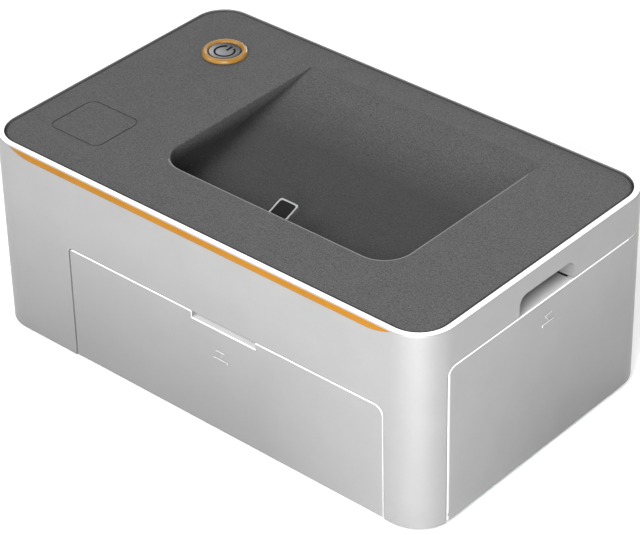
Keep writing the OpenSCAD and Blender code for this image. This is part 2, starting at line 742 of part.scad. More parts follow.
module paper_bay() {
    back_h = 18;
    color("#4a4a4c") {
        box(bay_l - bay_t, bay_r + bay_t, bay_y0, bay_y1, pan_top, pan_top + bay_t);
        for (x = [bay_l - bay_t, bay_r]) box(x, x + bay_t, bay_y0, bay_y1, pan_top, back_h);
        for (x = [bay_l - bay_t, bay_r]) box(x, x + bay_t, bay_y0, bay_roof_y1, pan_top, bay_top);
        box(bay_l - bay_t, bay_r + bay_t, bay_y0, bay_roof_y1, bay_top - bay_t, bay_top);
        box(bay_l - bay_t, bay_r + bay_t, bay_y1 - bay_t, bay_y1, pan_top, back_h);
        for (x = [bay_l + 25, bay_r - 27])
            box(x, x + 2, bay_y0, bay_y1, pan_top + bay_t, pan_top + bay_t + 0.8);
    }
}

// Window for the ribbon cartridge, gap away from its tubes
module cartridge_window(gap) {
    translate(supply) circle(supply_tube + gap);
    translate(takeup) circle(takeup_tube + gap);
    translate([supply[0], nip_z + 4]) square([takeup[0] - supply[0], 15]);
}

module cartridge_bay() {
    color("#4a4a4c") difference() {
        box(plate_r + plate_t + 0.6, plate_r + plate_t + 2.2, side_y0 + 1, half_d - wall - 1, pan_top,
            side_top + 1);
        across(plate_r, plate_r + 8) cartridge_window(0.7);
    }
}

module dock_pose() {
    translate([dock_x, carrier_y, carrier_z]) rotate([plug_tilt, 0, 0]) children();
}

module dock_carrier() {
    base_l = 4.6;
    color("#2a2a2c") dock_pose() difference() {
        union() {
            rod([0, 0], -carrier_w / 2, carrier_w / 2, carrier_r);
            box(-plug_w / 2 - 0.9, plug_w / 2 + 0.9, 0, base_l, -1.6, 1.6);
        }
        rod([0, 0], -carrier_w, carrier_w, pin_r + running);
        box(-plug_w / 2, plug_w / 2, 1.6, base_l + 1, -plug_t / 2, plug_t / 2);
    }
}

module dock_pin() {
    l = carrier_w + 2 * ear_t + 0.6;
    color("silver") rod([carrier_y, carrier_z], dock_x - l / 2, dock_x + l / 2, pin_r);
}

// Flat plug outline with a rounded nose, drawn in X and Y
module plug_outline(inset) {
    r = 0.8;
    w = plug_w / 2 - inset;
    translate([-w, 1.6]) square([2 * w, plug_reach - 1.6 - r - inset]);
    translate([r - w, 1.6]) square([2 * (w - r), plug_reach - 1.6 - inset]);
    for (side = [-1, 1]) translate([side * (w - r), plug_reach - inset - r]) circle(r);
}

module dock_plug_shell() {
    color("silver") dock_pose() translate([0, 0, -plug_t / 2]) linear_extrude(plug_t) difference() {
        plug_outline(0);
        plug_outline(0.5);
    }
}

module dock_plug_core() {
    color("#1a1a1a") dock_pose() translate([0, 0, 0.08 - plug_t / 2])
        linear_extrude(plug_t - 0.16) plug_outline(0.5);
}

// Holes for the shafts that run in bushes, shared by both side plates
roller_shafts = [platen, capstan, pinch, pickup];

module side_plate_outline() {
    difference() {
        translate([plate_y0, pan_top]) square([half_d - wall - 1.8 - plate_y0, body_h - 8 - pan_top]);
        translate([plate_y0, body_h]) polygon([[-1, -23], [-1, -3], [7, -3]]);
        for (p = roller_shafts) translate(p) circle(bush_r);
        translate(head_shaft) circle(shaft_r);
    }
}

module left_plate() {
    color("#b8bcc0") difference() {
        union() {
            across(plate_l - plate_t, plate_l) side_plate_outline();
            box(plate_l - 9, plate_l, flange_y0, flange_y1, pan_top, pan_top + plate_t);
            spring_tab(plate_l - 0.1, plate_l + spring_seat);
        }
        for (p = [reduction, idler]) rod(p, plate_l - 5, plate_l + 5, shaft_r - 0.5);
        rod(motor, plate_l - 5, plate_l + 5, 3.2);
        rod(takeup, plate_l - 5, plate_l + 5, journal_r + 0.1);
        box(plate_l - 5, plate_l + 5, cam_y - 5, cam_y + 5, arm_z - 4, body_h - 5);
        rod([cam_y, cam_z], plate_l - 5, plate_l + 5, shaft_r - 0.5 + running);
        screw_places() cylinder(h = 8, r = 1.3);
    }
}

module right_plate() {
    color("#b8bcc0") difference() {
        union() {
            across(plate_r, plate_r + plate_t) side_plate_outline();
            box(plate_r - 24, plate_r, flange_y0, flange_y1, pan_top, pan_top + plate_t);
            spring_tab(plate_r - spring_seat, plate_r + 0.1);
        }
        across(plate_r - 1, plate_r + 5) cartridge_window(0.5);
        screw_places() cylinder(h = 8, r = 1.3);
    }
}

module tie_rods() {
    color("silver") for (p = [[half_d - 31, 9], [plate_y0 + 3, 34]]) rod(p, plate_l, plate_r, 1.6);
}

// Bush in a side plate, with a collar of length collar towards side
module bush(p, x, side, collar) {
    difference() {
        union() {
            rod(p, x, x + plate_t, bush_r);
            rod(p, side > 0 ? x + plate_t : x - collar, side > 0 ? x + plate_t + collar : x, collar_r);
        }
        rod(p, x - 5, x + 6, shaft_r + running);
    }
}

module shaft_bushes() {
    color("#e8e4d8") for (p = roller_shafts) {
        collar = p == pinch ? spring_seat : 0.8;
        bush(p, plate_l - plate_t, 1, collar);
        bush(p, plate_r, -1, collar);
    }
}

shaft_l = plane_a - 0.4;
shaft_end = plate_r + plate_t;

module platen_roller() {
    color("silver") {
        rod(platen, shaft_l, shaft_end, shaft_r);
        rod(platen, roller_l, roller_r, platen_r - 1.6);
    }
}

module platen_rubber() {
    color("#222222") tube(platen, roller_l + 0.5, roller_r - 0.5, platen_r, platen_r - 1.6);
}

module platen_gear() {
    color("#eeeae0") gear(platen, plane_a, teeth_roller, module_a, turn_platen, shaft_r);
}

module capstan_roller() {
    color("#c9ccd0") {
        rod(capstan, shaft_l, shaft_end, shaft_r);
        rod(capstan, roller_l, roller_r, capstan_r);
    }
}

module capstan_gear() {
    color("#eeeae0") gear(capstan, plane_a, teeth_roller, module_a, turn_capstan, shaft_r);
}

module pinch_roller() {
    color("#8d9094") {
        rod(pinch, plate_l - plate_t, shaft_end, shaft_r);
        rod(pinch, roller_l, roller_r, pinch_r);
    }
}

// Compression spring on each pinch bush, a coiled wire between the bush and a tab above it
function coil_point(a, coils, r, h) = [r * cos(a * coils * 360), r * sin(a * coils * 360), h * a];
module coil(r, wire, coils, h) {
    steps = coils * 14;
    sides = 6;
    points = [for (i = [0:steps]) let (c = coil_point(i / steps, coils, r, h), a = i / steps * coils * 360)
        for (k = [0:sides - 1]) let (b = k * 360 / sides)
            c + wire * [cos(b) * cos(a), cos(b) * sin(a), sin(b)]];
    walls = [for (i = [0:steps - 1], k = [0:sides - 1]) let (n = (k + 1) % sides, p = i * sides)
        each [[p + k, p + sides + k, p + sides + n], [p + k, p + sides + n, p + n]]];
    ends = [[for (k = [0:sides - 1]) k], [for (k = [sides - 1:-1:0]) steps * sides + k]];
    polyhedron(points, concat(walls, ends));
}

module pinch_springs() {
    color("silver") for (x = [plate_l + spring_seat - 1.4, plate_r - spring_seat + 1.4])
        translate([x, pinch[0], spring_z]) coil(1.3, spring_wire, 5, spring_h);
}

// Bent tab of a side plate that holds the spring down, from x0 to x1
module spring_tab(x0, x1) {
    box(x0, x1, pinch[0] - 2, pinch[0] + 2, tab_z, tab_z + plate_t);
}

module pickup_shaft() {
    color("silver") rod(pickup, shaft_l, shaft_end, shaft_r);
}

module pickup_tyres() {
    color("#333333") for (x = [door_x - 22, door_x + 12]) tube(pickup, x, x + 10, pickup_r, shaft_r);
}

module pickup_gear() {
    color("#eeeae0") gear(pickup, plane_a, teeth_roller, module_a, turn_pickup, shaft_r);
}

module pickup_idler() {
    color("#eeeae0") gear(idler, plane_a, teeth_idler, module_a, turn_idler, shaft_r - 0.5 + running);
}

module reduction_gear() {
    color("#eeeae0") {
        gear(reduction, plane_a, teeth_roller, module_a, turn_reduction, shaft_r - 0.5 + running);
        gear(reduction, plane_b, teeth_big, module_b, turn_reduction, shaft_r - 0.5 + running);
        tube(reduction, plane_b, plane_a + gear_t, 4.6, shaft_r - 0.5 + running);
    }
}

module gear_studs() {
    color("silver") {
        rod(reduction, plane_b - 0.6, plate_l, shaft_r - 0.5);
        rod(idler, plane_a - 0.6, plate_l, shaft_r - 0.5);
    }
}

module feed_motor() {
    color("#a9adb2") difference() {
        union() {
            rod(motor, plate_l, plate_l + 17, 7.9);
            rod(motor, plate_l - plate_t, plate_l, 3.1);
        }
        rod(motor, plate_l - 4, plate_l + 3, 1 + running);
    }
}

module motor_pinion() {
    color("#d8b25a") {
        gear(motor, plane_b, teeth_pinion, module_b, turn_pinion, 0.5);
        rod(motor, plane_b, plate_l + 2.5, 1);
    }
}

module paper_guide() {
    color("#4a4a4c") {
        box(plate_l, plate_r, platen[0] + platen_r + 1, capstan[0] - capstan_r - 0.9, nip_z - 2.6, nip_z - 1);
        for (x = [bay_l + 6:12:bay_r - 6])
            box(x, x + 1.2, platen[0] + platen_r + 1, capstan[0] - capstan_r - 0.9, nip_z - 1.01, nip_z - 0.3);
    }
}

module head_arm() {
    ear = 4;
    color("#b8bcc0") difference() {
        union() {
            box(roller_l + 4, roller_r - 4, head_y - 5, head_shaft[0] + 2, arm_z, arm_z + arm_t);
            box(plane_b, roller_l + 5, cam_y - 3.4, cam_y + 3.4, arm_z, arm_z + arm_t);
            for (x = [roller_l + 4, roller_r - 4 - arm_t]) across(x, x + arm_t) {
                translate(head_shaft) circle(ear);
                translate([head_shaft[0] - ear, head_shaft[1]]) square([2 * ear, arm_z - head_shaft[1] + 0.5]);
            }
        }
        rod(head_shaft, roller_l, roller_r, shaft_r + running);
        box(roller_l + 20, roller_r - 20, half_d - 29, half_d - 17, arm_z - 1, arm_z + 4);
    }
}

module head_pivot() {
    color("silver") rod(head_shaft, plate_l - plate_t, plate_r + plate_t, shaft_r);
}

// Extruded heat sink with fins on both sides of its web
module print_head() {
    fin = 1;
    color("#c0c4c8") across(roller_l + 5, roller_r - 5) translate([head_y, 0]) {
        translate([-1.5, head_foot + 1]) square([3, arm_z - head_foot - 1]);
        translate([-head_half, head_foot + 1]) square([2 * head_half, 2.6]);
        for (z = [head_foot + 6:3:arm_z - 3]) translate([-head_half, z]) square([2 * head_half, fin]);
        translate([-4, arm_z - 1.6]) square([8, 1.6]);
    }
}

module head_ceramic() {
    color("#efe9dc") across(roller_l + 5, roller_r - 5) translate([head_y, head_foot]) {
        translate([-3.5, 0.2]) square([7, 0.8]);
        translate([0, 0.5]) circle(0.5);
    }
}

// Cam whose edge falls at a steady rate over its turn
module head_cam() {
    color("#eeeae0") {
        across(plane_b, plane_b + gear_t) translate([cam_y, cam_z]) polygon(concat(
            [for (k = [0:30]) let (a = 90 - cam_turn * k / 30)
                (cam_high - cam_rise * k / 30) * [cos(a), sin(a)]],
            [for (k = [1:12]) let (a = 90 - cam_turn - (360 - cam_turn) * k / 13)
                (cam_high - cam_rise + cam_rise * k / 13) * [cos(a), sin(a)]]));
        rod([cam_y, cam_z], plane_b + gear_t - 0.01, plate_l + 2, shaft_r - 0.5);
    }
}

module cartridge_tube(p, r, a0) {
    difference() {
        tube(p, cart_l, cart_r, r, r - tube_t);
        across(cart_l + cap_t, cart_r - cap_t) translate(p)
            polygon([[0, 0], 1.5 * r * [cos(a0), sin(a0)], 1.5 * r * [cos(a0 + 45), sin(a0 + 45)],
                1.5 * r * [cos(a0 + 90), sin(a0 + 90)]]);
    }
    tube(p, cart_l, cart_l + cap_t, r - 0.1, journal_r + 0.1);
    tube(p, plate_l, cart_l + 0.01, journal_r + 1.5, journal_r + 0.1);
}

module ribbon_cartridge() {
    color("#303032") {
        cartridge_tube(supply, supply_tube, 270);
        cartridge_tube(takeup, takeup_tube, 180);
        // Grip plate that joins the tubes at the end that faces the side door
        difference() {
            across(cart_r - 0.01, cart_r + 2) union() {
                translate(supply) circle(supply_tube);
                translate(takeup) circle(takeup_tube);
                translate([supply[0], supply[1] - 6]) square([takeup[0] - supply[0], 12]);
            }
            for (p = [supply, takeup]) rod(p, cart_r - 1, cart_r + 3, journal_r + 0.1);
        }
        box(cart_r + 1.9, cart_r + 4, supply[0] + 8.5, supply[0] + 24.5, supply[1] - 1, supply[1] + 1);
    }
}

module spool(p, reach) {
    rod(p, cart_l + cap_t + 0.2, cart_r - 0.2, spool_r);
    rod(p, cart_l + reach, cart_l + cap_t + 0.3, journal_r);
    rod(p, cart_r - 0.3, cart_r + 1.8, journal_r);
}

module supply_spool() {
    color("#e6e2d6") spool(supply, 0.2);
}

module supply_roll() {
    color("#3b2a44") tube(supply, roll_l, roll_r, supply_r, spool_r);
}

module takeup_spool() {
    color("#e6e2d6") spool(takeup, 0.2);
}

module takeup_roll() {
    color("#3b2a44") tube(takeup, roll_l, roll_r, takeup_r, spool_r);
}

module takeup_gear() {
    color("#eeeae0") {
        gear(takeup, plane_a, teeth_takeup, module_a, turn_takeup, 1);
        rod(takeup, plane_a, cart_l + 0.2, journal_r);
    }
}

module ribbon_film() {
    bend = [[supply[0], supply[1] - supply_r - 0.3], [supply[0] + 10.3, film_z],
        [takeup[0] - takeup_r - 0.4, film_z], [takeup[0], takeup[1] - takeup_r - 0.3]];
    color("#4a3050") across(roll_l + 1, roll_r - 1) for (k = [0:2])
        let (a = bend[k], b = bend[k + 1], n = film_t * [a[1] - b[1], b[0] - a[0]] / norm(b - a))
            polygon([a, b, b + n, a + n]);
}

module main_board() {
    color("#2f6b3a") difference() {
        box(board_x, board_x + board_t, board_y0, board_y1, pan_top + 0.5, board_top);
        for (y = board_holes_y, z = board_holes_z) rod([y, z], board_x - 1, board_x + 4, board_hole_r + 0.1);
    }
    color("#1d1d1d") {
        box(board_x + board_t, board_x + board_t + 1.4, board_y0 + 24, board_y0 + 40, 22, 38);
        box(board_x + board_t, board_x + board_t + 1.4, board_y0 + 12, board_y0 + 20, 20, 30);
        for (k = [0:2]) rod([board_y0 + 14 + 9 * k, board_top - 8], board_x + board_t, board_x + board_t + 7, 3);
    }
}

module board_screws() {
    color("silver") for (y = board_holes_y, z = board_holes_z) {
        rod([y, z], board_x + board_t, board_x + board_t + 1.2, 2.4);
        rod([y, z], board_x - 3.5, board_x + board_t, board_hole_r);
    }
}

module power_inlet() {
    color("#1d1d1d") {
        difference() {
            union() {
                box(board_x + board_t, inlet_x + 4.4, board_y1 - 2, rear_inside, rear_port_z - 1,
                    rear_port_z + 9);
                translate([inlet_x, rear_inside - 0.01, rear_port_z + 4]) rotate([-90, 0, 0])
                    cylinder(h = wall, r = 4.1);
            }
            translate([inlet_x, board_y1, rear_port_z + 4]) rotate([-90, 0, 0]) cylinder(h = 20, r = 3);
        }
        translate([inlet_x, board_y1 - 0.01, rear_port_z + 4]) rotate([-90, 0, 0]) cylinder(h = 8, r = 0.9);
    }
}

module usb_port() {
    lip = 0.7;
    color("#c0c4c8") difference() {
        union() {
            box(board_x + board_t, port_x + port_w, board_y1 - 4, rear_inside, 24, 38);
            box(port_x, port_x + port_w, rear_inside - 0.01, half_d - wall / 2, 24, 38);
        }
        box(port_x + lip, port_x + port_w - lip, board_y1, half_d + 1, 24 + lip, 38 - lip);
    }
    color("#f0f0f0") box(port_x + 3, port_x + 4.8, board_y1 - 0.1, half_d - wall - 1, 26, 36);
}

upper_case();
base_pan();
top_deck();
accent_stripe();
button_ring();
power_button();
button_board();
button_switch();
front_door();
front_hinge_pins();
side_door();
side_hinge_pins();
paper_bay();
cartridge_bay();
dock_carrier();
dock_pin();
dock_plug_shell();
dock_plug_core();
rubber_feet();
case_screws();
left_plate();
right_plate();
tie_rods();
shaft_bushes();
platen_roller();
platen_rubber();
platen_gear();
capstan_roller();
capstan_gear();
pinch_roller();
pinch_springs();
pickup_shaft();
pickup_tyres();
pickup_gear();
pickup_idler();
reduction_gear();
gear_studs();
feed_motor();
motor_pinion();
paper_guide();
head_arm();
print_head();
head_ceramic();
head_pivot();
head_cam();
ribbon_cartridge();
supply_spool();
supply_roll();
takeup_spool();
takeup_roll();
takeup_gear();
ribbon_film();
main_board();
board_screws();
power_inlet();
usb_port();
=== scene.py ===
import math
import bmesh
import bpy
from mathutils import Matrix, Vector


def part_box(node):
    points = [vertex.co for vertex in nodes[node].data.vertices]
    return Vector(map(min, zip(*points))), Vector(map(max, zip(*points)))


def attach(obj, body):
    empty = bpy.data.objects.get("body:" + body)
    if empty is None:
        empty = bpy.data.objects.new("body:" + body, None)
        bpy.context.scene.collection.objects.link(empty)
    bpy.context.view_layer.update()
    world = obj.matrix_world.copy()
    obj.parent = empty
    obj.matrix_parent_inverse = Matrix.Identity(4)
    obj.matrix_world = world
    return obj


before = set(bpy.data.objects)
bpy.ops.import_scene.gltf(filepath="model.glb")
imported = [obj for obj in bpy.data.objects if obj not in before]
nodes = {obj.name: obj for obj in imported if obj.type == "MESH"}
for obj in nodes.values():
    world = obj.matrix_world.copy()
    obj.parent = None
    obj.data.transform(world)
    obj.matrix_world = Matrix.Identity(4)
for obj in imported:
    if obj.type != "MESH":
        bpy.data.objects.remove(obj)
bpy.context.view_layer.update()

mm = 0.001
print("frame loaded with", len(nodes), "nodes")

# Long lens from the right front, above; lengths in mm, angles in degrees
photoView = {"azimuth": 41.847, "elevation": 34.378, "roll": -1.197, "distance": 798.767,
             "aside": 1.42, "above": -4.741, "aimHeight": 32.5, "lens": 155.005, "sensor": 36,
             "clipNear": 20, "clipFar": 30000}


def placeCamera(view):
    azimuth, elevation, roll = (math.radians(view[k]) for k in ("azimuth", "elevation", "roll"))
    back = Vector((math.sin(azimuth) * math.cos(elevation), -math.cos(azimuth) * math.cos(elevation),
                   math.sin(elevation)))
    level = Vector((math.cos(azimuth), math.sin(azimuth), 0))
    upright = back.cross(level)
    right = level * math.cos(roll) + upright * math.sin(roll)
    up = upright * math.cos(roll) - level * math.sin(roll)
    spot = back * view["distance"] + right * view["aside"] + up * view["above"] + Vector((0, 0, view["aimHeight"]))
    data = bpy.data.cameras.new("photoCamera")
    data.lens = view["lens"]
    data.sensor_width = view["sensor"]
    data.clip_start, data.clip_end = view["clipNear"] * mm, view["clipFar"] * mm
    camera = bpy.data.objects.new("photoCamera", data)
    camera.matrix_world = Matrix.Translation(spot * mm) @ Matrix((right, up, back)).transposed().to_4x4()
    bpy.context.scene.collection.objects.link(camera)
    bpy.context.scene.camera = camera


placeCamera(photoView)

# Soft boxes: where each hangs, what it is turned to, its width and height, all in metres
softBoxes = {
    "rearBox": {"at": (-0.75, 0.85, 0.95), "to": (0, 0, 0.05), "size": (1.1, 0.9), "watts": 12.5},
    "cornerBox": {"at": (0.56, -0.62, 0.12), "to": (0.06, -0.03, 0.05), "size": (0.16, 0.2), "watts": 9.0},
    "nearBox": {"at": (0.22, -0.42, 0.32), "to": (0.03, -0.03, 0.05), "size": (0.22, 0.22), "watts": 3.8},
    "leftBox": {"at": (-0.6, -0.62, 0.68), "to": (0, 0, 0.05), "size": (0.5, 0.5), "watts": 7.6},
    "backBox": {"at": (-0.25, 1.0, 0.14), "to": (0, 0.05, 0.03), "size": (0.5, 0.24), "watts": 5.5},
    "rightBox": {"at": (0.6, 0.66, 0.6), "to": (0, 0, 0.05), "size": (0.5, 0.4), "watts": 4.4},
}


def hangSoftBox(name, box):
    data = bpy.data.lights.new(name, "AREA")
    data.shape = "RECTANGLE"
    data.size, data.size_y = box["size"]
    data.energy = box["watts"]
    lamp = bpy.data.objects.new(name, data)
    at, to = Vector(box["at"]), Vector(box["to"])
    lamp.matrix_world = Matrix.Translation(at) @ (to - at).to_track_quat("-Z", "Y").to_matrix().to_4x4()
    bpy.context.scene.collection.objects.link(lamp)


for name, box in softBoxes.items():
    hangSoftBox(name, box)

studio = {"skyTone": (0.96, 0.97, 1.0), "skyStrength": 0.02, "floorHalf": 3.0, "floorTone": (0.9, 0.9, 0.9),
          "floorRough": 0.8}


def setStudio(look):
    world = bpy.data.worlds.new("studioWorld")
    world.use_nodes = True
    world.node_tree.nodes["Background"].inputs["Color"].default_value = (*look["skyTone"], 1)
    world.node_tree.nodes["Background"].inputs["Strength"].default_value = look["skyStrength"]
    bpy.context.scene.world = world
    bpy.context.scene.view_settings.view_transform = "Standard"
    h = look["floorHalf"]
    mesh = bpy.data.meshes.new("studioFloor")
    mesh.from_pydata([(-h, -h, 0), (h, -h, 0), (h, h, 0), (-h, h, 0)], [], [(0, 1, 2, 3)])
    floor = bpy.data.objects.new("studioFloor", mesh)
    bpy.context.scene.collection.objects.link(floor)
    paper = bpy.data.materials.new("backdropPaper")
    paper.use_nodes = True
    shader = paper.node_tree.nodes["Principled BSDF"]
    shader.inputs["Base Color"].default_value = (*look["floorTone"], 1)
    shader.inputs["Roughness"].default_value = look["floorRough"]
    mesh.materials.append(paper)


setStudio(studio)
print("camera, lights and floor are in place")


def tone(r, g, b):
    # Linear colour from the 0 to 255 numbers of a colour picker
    return tuple(((c / 255 + 0.055) / 1.055) ** 2.4 if c > 10 else c / 255 / 12.92 for c in (r, g, b)) + (1,)


def put(tree, kind, inputs, **settings):
    node = tree.nodes.new("ShaderNode" + kind)
    for key, value in settings.items():
        setattr(node, key, value)
    for key, value in inputs.items():
        if isinstance(value, bpy.types.NodeSocket):
            tree.links.new(value, node.inputs[key])
        else:
            node.inputs[key].default_value = value
    return node


def objectCoords(tree):
    return put(tree, "TexCoord", {}).outputs["Object"]


def objectAxes(tree):
    return put(tree, "SeparateXYZ", {0: objectCoords(tree)}).outputs


def startGroup(name, inputs, outputs):
    group = bpy.data.node_groups.new(name, "ShaderNodeTree")
    for label, (kind, value) in inputs.items():
        group.interface.new_socket(name=label, in_out="INPUT", socket_type="NodeSocket" + kind).default_value = value
    for label, kind in outputs.items():
        group.interface.new_socket(name=label, in_out="OUTPUT", socket_type="NodeSocket" + kind)
    return group, group.nodes.new("NodeGroupInput").outputs, group.nodes.new("NodeGroupOutput").inputs


def objectPoint(group, stretch, size):
    # Point on the piece in steps of size, pulled along its axes by stretch
    pulled = put(group, "VectorMath", {0: objectCoords(group), 1: stretch}, operation="MULTIPLY").outputs[0]
    steps = put(group, "Math", {0: 1.0, 1: size}, operation="DIVIDE").outputs[0]
    return put(group, "VectorMath", {0: pulled, "Scale": steps}, operation="SCALE").outputs[0]


def makeGrainGroup():
    # Spark-eroded or painted grain, with slow changes of roughness under it
    group, given, out = startGroup("surfaceGrain", {
        "Size": ("Float", 0.3 * mm), "Stretch": ("Vector", (1, 1, 1)), "Smooth": ("Float", 0.35),
        "Dull": ("Float", 0.5), "Drift": ("Float", 0.5)}, {"Height": "Float", "Roughness": "Float"})
    point = objectPoint(group, given["Stretch"], given["Size"])
    fine = put(group, "TexNoise", {"Vector": point, "Scale": 1.0, "Detail": 2.0, "Roughness": 0.6}).outputs[0]
    slow = put(group, "TexNoise", {"Vector": point, "Scale": 0.045, "Detail": 3.0}).outputs[0]
    mixed = put(group, "Mix", {0: given["Drift"], 2: fine, 3: slow}, data_type="FLOAT").outputs[0]
    rough = put(group, "MapRange", {0: mixed, 1: 0.35, 2: 0.65, 3: given["Smooth"], 4: given["Dull"]}).outputs[0]
    group.links.new(fine, out["Height"])
    group.links.new(rough, out["Roughness"])
    return group


def makeToneGroup():
    # Colour that drifts between two tones, with fine flecks over a slow drift
    group, given, out = startGroup("toneDrift", {
        "Tone": ("Color", (0.5, 0.5, 0.5, 1)), "Shade": ("Color", (0.4, 0.4, 0.4, 1)), "Size": ("Float", 5 * mm),
        "Fleck": ("Float", 0.4)}, {"Color": "Color"})
    point = objectPoint(group, (1, 1, 1), given["Size"])
    slow = put(group, "TexNoise", {"Vector": point, "Scale": 1.0, "Detail": 2.0}).outputs[0]
    fleck = put(group, "TexNoise", {"Vector": point, "Scale": 16.0, "Detail": 1.0}).outputs[0]
    both = put(group, "Mix", {0: given["Fleck"], 2: slow, 3: fleck}, data_type="FLOAT").outputs[0]
    share = put(group, "MapRange", {0: both, 1: 0.32, 2: 0.68, 3: 0.0, 4: 1.0}).outputs[0]
    mixed = put(group, "Mix", {0: share, 6: given["Tone"], 7: given["Shade"]}, data_type="RGBA").outputs[2]
    group.links.new(mixed, out["Color"])
    return group


def makeRingGroup():
    # Circles about an X, Y or Z axis through a centre: turned faces and wound film
    group, given, out = startGroup("turnedRings", {
        "Centre": ("Vector", (0, 0, 0)), "Plane": ("Vector", (0, 1, 1)), "Size": ("Float", 0.2 * mm),
        "Smooth": ("Float", 0.2), "Dull": ("Float", 0.35)}, {"Height": "Float", "Roughness": "Float"})
    moved = put(group, "VectorMath", {0: objectCoords(group), 1: given["Centre"]}, operation="SUBTRACT").outputs[0]
    flat = put(group, "VectorMath", {0: moved, 1: given["Plane"]}, operation="MULTIPLY").outputs[0]
    reach = put(group, "VectorMath", {0: flat}, operation="LENGTH").outputs[1]
    steps = put(group, "Math", {0: reach, 1: given["Size"]}, operation="DIVIDE").outputs[0]
    lines = put(group, "TexNoise", {"W": steps, "Scale": 1.0, "Detail": 2.0}, noise_dimensions="1D").outputs[0]
    rough = put(group, "MapRange", {0: lines, 1: 0.3, 2: 0.7, 3: given["Smooth"], 4: given["Dull"]}).outputs[0]
    group.links.new(lines, out["Height"])
    group.links.new(rough, out["Roughness"])
    return group


def makeTrackGroup():
    # Copper tracks under the lacquer of a circuit board, on a face across X
    group, given, out = startGroup("boardTracks", {
        "Size": ("Float", 2.2 * mm), "Lacquer": ("Color", (0, 0.2, 0, 1)), "Track": ("Color", (0.1, 0.3, 0.1, 1))},
        {"Color": "Color", "Height": "Float"})
    axes = objectAxes(group)
    face = put(group, "CombineXYZ", {0: axes[1], 1: axes[2], 2: 0.0}).outputs[0]
    steps = put(group, "Math", {0: 1.0, 1: given["Size"]}, operation="DIVIDE").outputs[0]
    point = put(group, "VectorMath", {0: face, "Scale": steps}, operation="SCALE").outputs[0]
    tracks = put(group, "TexBrick", {"Vector": point, "Scale": 1.0, "Mortar Size": 0.06, "Brick Width": 2.6,
                                     "Row Height": 0.45}, offset=0.37, squash=0.6, squash_frequency=3).outputs["Fac"]
    cells = put(group, "TexVoronoi", {"Vector": point, "Scale": 0.22}, distance="CHEBYCHEV").outputs["Distance"]
    some = put(group, "Math", {0: cells, 1: 0.42}, operation="LESS_THAN").outputs[0]
    shown = put(group, "Math", {0: tracks, 1: some}, operation="MULTIPLY").outputs[0]
    mixed = put(group, "Mix", {0: shown, 6: given["Lacquer"], 7: given["Track"]}, data_type="RGBA").outputs[2]
    group.links.new(mixed, out["Color"])
    group.links.new(shown, out["Height"])
    return group


def between(tree, value, start, end):
    # 1 where the value lies between start and end
    return put(tree, "Math", {0: value, 1: (start + end) / 2, 2: (end - start) / 2}, operation="COMPARE").outputs[0]


def makePaintedFootShadeGroup():
    # Painted shade: the colour darkens toward the foot, away from one upright corner
    group, given, out = startGroup("paintedFootShade", {
        "Color": ("Color", (0.5, 0.5, 0.5, 1)), "Corner": ("Vector", (0, 0, 0)), "From": ("Float", 12 * mm),
        "To": ("Float", 60 * mm), "Top": ("Float", 50 * mm), "Dark": ("Float", 0.3)}, {"Color": "Color"})
    point = objectCoords(group)
    flat = put(group, "VectorMath", {0: point, 1: (1, 1, 0)}, operation="MULTIPLY").outputs[0]
    away = put(group, "VectorMath", {0: flat, 1: given["Corner"]}, operation="DISTANCE").outputs[1]
    far = put(group, "MapRange", {0: away, 1: given["From"], 2: given["To"], 3: 0.0, 4: given["Dark"]}).outputs[0]
    height = put(group, "SeparateXYZ", {0: point}).outputs[2]
    foot = put(group, "MapRange", {0: height, 1: 0.0, 2: given["Top"], 3: 1.0, 4: 0.0}).outputs[0]
    dark = put(group, "Math", {0: far, 1: foot}, operation="MULTIPLY").outputs[0]
    share = put(group, "Math", {0: 1.0, 1: dark}, operation="SUBTRACT").outputs[0]
    shadedColour = put(group, "VectorMath", {0: given["Color"], "Scale": share}, operation="SCALE").outputs[0]
    group.links.new(shadedColour, out["Color"])
    return group


# Depth bands, in mm, of the painted highlights on door marks and edges
highlightBands = {"markFrom": -0.26, "markTo": -0.05, "highlightFrom": 0.06, "highlightTo": 0.28, "sideFrom": 1, "sideTo": 2}


def makeEdgeHighlightGroup():
    # Mask for painted highlights on the flanks of raised marks and on the rounded edge behind a flat face, weaker at
    # one upright side
    group, given, out = startGroup("paintedEdgeHighlights", {
        "Inward": ("Vector", (0, 1, 0)), "Face": ("Float", 0.0), "Along": ("Vector", (1, 0, 0)),
        "Side": ("Float", 0.0), "Weak": ("Float", 0.35)}, {"Mask": "Float"})
    point = objectCoords(group)
    across = put(group, "VectorMath", {0: point, 1: given["Inward"]}, operation="DOT_PRODUCT").outputs[1]
    depth = put(group, "Math", {0: across, 1: given["Face"]}, operation="SUBTRACT").outputs[0]
    marks = between(group, depth, highlightBands["markFrom"] * mm, highlightBands["markTo"] * mm)
    edge = between(group, depth, highlightBands["highlightFrom"] * mm, highlightBands["highlightTo"] * mm)
    beside = put(group, "VectorMath", {0: point, 1: given["Along"]}, operation="DOT_PRODUCT").outputs[1]
    inside = put(group, "Math", {0: beside, 1: given["Side"]}, operation="SUBTRACT").outputs[0]
    share = put(group, "MapRange", {0: inside, 1: highlightBands["sideFrom"] * mm, 2: highlightBands["sideTo"] * mm,
                                    3: given["Weak"], 4: 1.0}).outputs[0]
    edge = put(group, "Math", {0: edge, 1: share}, operation="MULTIPLY").outputs[0]
    mask = put(group, "Math", {0: marks, 1: edge}, operation="MAXIMUM").outputs[0]
    group.links.new(mask, out["Mask"])
    return group


